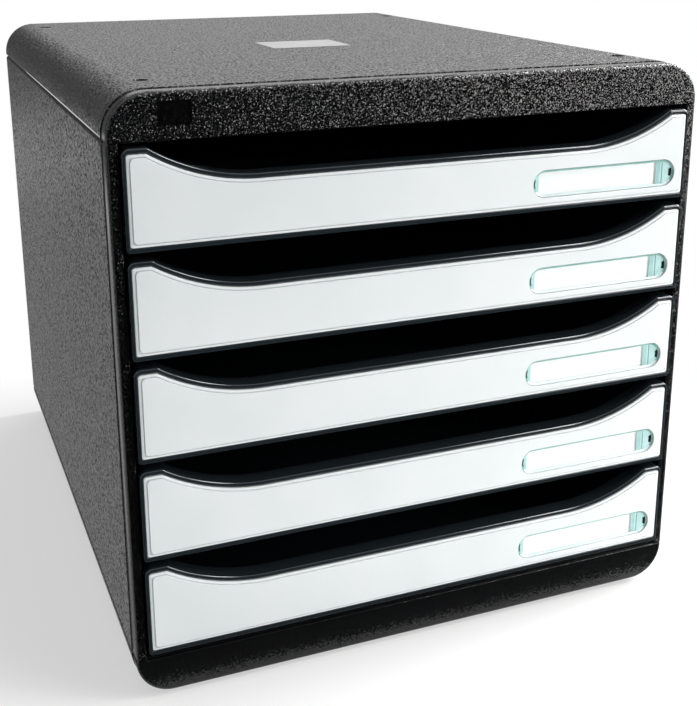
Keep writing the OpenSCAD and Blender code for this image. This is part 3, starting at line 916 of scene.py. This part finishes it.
def made_by(tree, values, name):
    """Runs a tree on an empty mesh and returns the plain mesh that comes out."""
    holder = placed(name, bpy.data.meshes.new(name))
    modifier = holder.modifiers.new("tree", "NODES")
    modifier.node_group = tree
    for item in tree.interface.items_tree:
        if item.in_out == "INPUT":
            modifier[item.identifier] = values[item.name]
    evaluated = holder.evaluated_get(bpy.context.evaluated_depsgraph_get())
    data = bpy.data.meshes.new_from_object(evaluated)
    bpy.data.objects.remove(holder)
    return data


border_data = made_by(window_tree(), WINDOW_SIZES, "window_border")
print("border and ribs:", len(border_data.polygons), "faces")

# %% [markdown]
# The plates of a window share the border's inner outline, each between two
# upright lines: the closed left end, the clear plate over the label, the ribbed
# band, the groove, and the closed right end.

# %% Window plates, then the five windows
label_left = label_low.x - label_x
GROOVE, GROOVE_W = 31.6, 0.5   # right of the window's middle
BAND_T = 0.25                  # thickness of the ribbed band
CARD_GAP = 0.06                # air between the window and the card behind it
PLATE_LAP = 0.1                # how far the plates reach under the border
PLATE_REAR = WINDOW_T - CARD_GAP
BEND_STEPS = 10
TINY = 1e-6                    # a shorter upright is one point


def between(x0, x1, w, h):
    """The part of a stadium outline between two upright lines."""
    r = h / 2
    flat = w / 2 - r
    bends = [flat + r * math.sin(math.pi / 2 * i / BEND_STEPS)
             for i in range(BEND_STEPS + 1)]
    xs = sorted({x0, x1} | {s * b for b in bends for s in (-1, 1) if x0 < s * b < x1})
    upper = [(x, math.sqrt(max(r ** 2 - max(abs(x) - flat, 0) ** 2, 0))) for x in xs]
    lower = [(x, -z) for x, z in reversed(upper) if z > TINY]
    return upper + lower


EDGE, END, CLEAR, PAINTED_LIT_EDGE = range(4)  # places of the materials on a window
WINDOW_MATERIALS = [window_edge, window_end, window_clear, window_painted_lit_edge]
PLATES = [              # (left, right, depths of the front and rear faces, material)
    (-WINDOW_W / 2 + BORDER - PLATE_LAP, label_left, DISH, PLATE_REAR, END),
    (label_left, BAND_LEFT, DISH, PLATE_REAR, CLEAR),
    (BAND_LEFT, GROOVE, DISH, DISH + BAND_T, END),
    (GROOVE, GROOVE + GROOVE_W, DISH + BAND_T, PLATE_REAR, EDGE),
    (GROOVE + GROOVE_W, WINDOW_W / 2 - BORDER + PLATE_LAP, DISH, PLATE_REAR, END),
]
PLATE_W = WINDOW_W - 2 * BORDER + 2 * PLATE_LAP
PLATE_H = WINDOW_H - 2 * BORDER + 2 * PLATE_LAP
UPRIGHT = Matrix.Rotation(math.radians(90), 4, "X")
FROM_NODES = {0: EDGE, 2: END}         # by the places that the node tree gives
PAINTED_LIT_SHARE = 0.3        # of the height: lower down, the border is painted paler, as if lit from above

for n in DRAWERS:
    centre = Vector((label_x, window_y, drawer_z[n] + label_z))
    painted_lit_below = (centre.z - PAINTED_LIT_SHARE * WINDOW_H) * MM
    mesh = bmesh.new()
    mesh.from_mesh(border_data)
    for face in mesh.faces:
        face.material_index = FROM_NODES[face.material_index]
    place = Matrix.Translation(centre * MM) @ UPRIGHT
    bmesh.ops.transform(mesh, matrix=place, verts=mesh.verts)
    # The border's lower faces get the paler copy: painted light from above
    for face in mesh.faces:
        if face.material_index == EDGE and face.calc_center_median().z < painted_lit_below:
            face.material_index = PAINTED_LIT_EDGE
    for left, right, front, rear, index in PLATES:
        outline = between(left, right, PLATE_W, PLATE_H)
        before = len(mesh.faces)
        loft(mesh, [[(centre.x + x, centre.y + y, centre.z + z) for x, z in outline]
                    for y in (front, rear)])
        mesh.faces.ensure_lookup_table()
        for face in mesh.faces[before:]:
            face.material_index = index
    window = finished(mesh, f"drawer_{n}_window", WINDOW_MATERIALS, sharp=30)
    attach(window, f"drawer_{n}")
    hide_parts(f"drawer_{n}_label_window")
print("window:", len(window.data.polygons), "faces each")

# %% [markdown]
# ## The sticker on the cover
# A pale paper sticker lies on the top. It is a thin sheet with rounded corners,
# so its edge still catches a line of light.

# %% Sticker
STICKER_X, STICKER_Y = (-26.0, 17.0), (132.0, 166.0)   # Y from the front face
STICKER_T, STICKER_R, STICKER_STEPS = 0.12, 1.0, 6
STICKER_GAP = 0.01     # air between the cover and the sheet

sticker_paper = mottled(
    "coated_white_paper", 6, ("#939493", "#a1a2a1"), detail=3, Roughness=0.45)[0]
left, right = STICKER_X
near, far = (y + casing_front for y in STICKER_Y)
corners = [(right, near, 270), (right, far, 0), (left, far, 90), (left, near, 180)]
outline = []
for x, y, start in corners:
    cx = x - STICKER_R if x == right else x + STICKER_R
    cy = y + STICKER_R if y == near else y - STICKER_R
    outline += arc(cx, cy, STICKER_R, STICKER_R, start, start + 90, STICKER_STEPS)
mesh = bmesh.new()
loft(mesh, [[(x, y, z) for x, y in outline]
            for z in (casing_high.z + STICKER_GAP, casing_high.z + STICKER_T)])
sticker = finished(mesh, "bare_sticker", [sticker_paper], sharp=30)
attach(sticker, CASING)
print(f"sticker {right - left:.0f} x {far - near:.0f} mm")

# %% [markdown]
# ## Studio
# The photograph was lit like a product on a white sweep: bright behind and to the
# right, dim on the camera's side. The world lights the object with a gradient by
# direction. The camera, gloss and glass see it plain white instead, so that the
# background is white and is mirrored as white.

# %% World
world = bpy.data.worlds.new("studio")
bpy.context.scene.world = world
world.use_nodes = True
world.cycles.sampling_method = "NONE"      # so that each ray asks for its own kind
tree = world.node_tree
tree.nodes.clear()
CAMERA_SIDE, FAR_SIDE = 0.09, 0.75
BLEND = 0.35           # half the width of the change, as a share of the Y direction


def shown_white(tree):
    """1 for rays that the camera, gloss or glass sends out, 0 for all others."""
    rays = add(tree, "ShaderNodeLightPath").outputs
    share = either(tree, rays["Is Camera Ray"], rays["Is Glossy Ray"])
    return either(tree, share, rays["Is Transmission Ray"])


direction = add(tree, "ShaderNodeTexCoord").outputs["Generated"]
towards_back = add(tree, "ShaderNodeSeparateXYZ", {"Vector": direction}).outputs["Y"]
level = add(tree, "ShaderNodeMapRange", {
    "Value": towards_back, "From Min": -BLEND, "From Max": BLEND,
    "To Min": CAMERA_SIDE, "To Max": FAR_SIDE}, interpolation_type="SMOOTHSTEP")
strength = mixed_number(tree, shown_white(tree), level.outputs["Result"], 1.0)
walls = add(tree, "ShaderNodeBackground", {
    "Color": linear("#ffffff"), "Strength": strength})
add(tree, "ShaderNodeOutputWorld", {"Surface": walls.outputs[0]})
print("world: from", CAMERA_SIDE, "to", FAR_SIDE)

# %% [markdown]
# Black gloss in an all-white room would look grey. Photographers hold up boards
# where a surface should mirror something darker. A black one stands behind the
# camera and one lies on the floor before the fronts. A dark grey one behind on
# the left is what the cover's rolled edge mirrors, and a paler one lies beside
# the left panel. The grey boards glow evenly at their grey, as painted reflections,
# instead of catching the lamps' light. They are hidden from everything but gloss,
# so they neither cast a shadow nor show in any view.

# %% Boards
BOARD_Z = 0.002        # metres above the floor


def board(name, grey, corners):
    """A board through four corners in metres, which glows evenly from 0, black, to 1,
    white.
    """
    material = bpy.data.materials.new(name)
    material.use_nodes = True
    tree = material.node_tree
    glow = add(tree, "ShaderNodeEmission", {
        "Color": linear("#ffffff"), "Strength": grey})
    tree.links.new(glow.outputs[0], tree.nodes["Material Output"].inputs["Surface"])
    material.cycles.emission_sampling = "NONE"
    mesh = bmesh.new()
    mesh.faces.new([mesh.verts.new(corner) for corner in corners])
    sheet = placed(name, mesh_data(mesh, name))
    sheet.data.materials.append(material)
    for sight in ("camera", "diffuse", "transmission", "volume_scatter", "shadow"):
        setattr(sheet, f"visible_{sight}", False)


def upright(x0, x1, y, z0, z1):
    return [(x0, y, z0), (x1, y, z0), (x1, y, z1), (x0, y, z1)]


def lying(x0, x1, y0, y1):
    return [(x, y, BOARD_Z) for x, y in ((x0, y0), (x1, y0), (x1, y1), (x0, y1))]


board("board_behind_camera", 0.0, upright(-4, 4, -2.2, -3, 2.5))
board("board_before_fronts", 0.0, lying(-1.2, 1.6, -2.2, -0.179))
board("board_behind_left", 0.17, upright(-4, -0.10, 1.5, 0.02, 2.5))
board("board_beside_panel", 0.58, lying(-3, -0.141, -0.19, 0.9))
print("four boards")

# %% [markdown]
# Each lamp has one job. The key lights the white inserts from the right, so they
# darken gently to the left. The overhead and right softboxes hardly reach the
# fronts, but the rolled lips and the grain's facets mirror them as lines and
# specks. The fill keeps the left ends of the fronts cool and open.

# %% Lamps
def softbox(name, place, size, power, colour="#ffffff"):
    """A rectangular area lamp in metres, aimed at the middle of the fronts."""
    lamp = bpy.data.lights.new(name, "AREA")
    lamp.shape = "RECTANGLE"
    lamp.size, lamp.size_y = size
    lamp.energy = power
    lamp.color = linear(colour)[:3]
    holder = placed(name, lamp)
    holder.location = place
    aim = Vector((0, casing_front, casing_high.z / 2)) * MM - Vector(place)
    holder.rotation_euler = aim.to_track_quat("-Z", "Y").to_euler()


softbox("key_softbox", (0.72, -0.72, 0.45), (0.5, 0.5), 5.9, "#fffdfc")
softbox("overhead_softbox", (0.90, -0.65, 1.37), (0.38, 0.38), 10)
softbox("right_softbox", (1.45, 0.10, 1.00), (0.7, 0.9), 52)
softbox("left_fill", (-0.6, -1.5, 0.8), (0.8, 0.5), 1.2, "#dff2fb")
print("four softboxes")

# %% [markdown]
# The floor is a pale matt sheet that keeps the object's shadow. Away from the
# object it fades into the white of the background. Light Path does that for the
# rays of camera, gloss and glass alone, so the light on the object stays as it is.

# %% Floor
FLOOR_R = 0.75                 # metres, like the next two
FADE_FROM, FADE_TO = 0.20, 0.36        # from the middle of the object
LEAST_WHITE = 0.5              # share of plain white close to the object

sweep, tree, shader = finish_of(
    "matt_white_card", Base_Color=linear("#f4f4f3"), Roughness=0.9)
place = add(tree, "ShaderNodeTexCoord").outputs["Object"]
away = add(tree, "ShaderNodeVectorMath", {0: place}, operation="LENGTH")
fade = add(tree, "ShaderNodeMapRange", {
    "Value": away.outputs["Value"], "From Min": FADE_FROM, "From Max": FADE_TO,
    "To Min": LEAST_WHITE, "To Max": 1.0}, interpolation_type="SMOOTHSTEP")
share = both(tree, fade.outputs["Result"], shown_white(tree))
white = add(tree, "ShaderNodeEmission", {"Color": linear("#ffffff"), "Strength": 1.0})
mixed = add(tree, "ShaderNodeMixShader", {
    0: share, 1: shader.outputs[0], 2: white.outputs[0]})
tree.links.new(mixed.outputs[0], tree.nodes["Material Output"].inputs["Surface"])
sweep.cycles.emission_sampling = "NONE"

mesh = bmesh.new()
bmesh.ops.create_circle(mesh, cap_ends=True, segments=96, radius=FLOOR_R)
floor = placed("floor", mesh_data(mesh, "floor"))
floor.data.materials.append(sweep)
print("floor", FLOOR_R, "m in radius")

# %% [markdown]
# ## Finish
# Colours are shown as they are written.

# %% View settings
bpy.context.scene.view_settings.view_transform = "Standard"
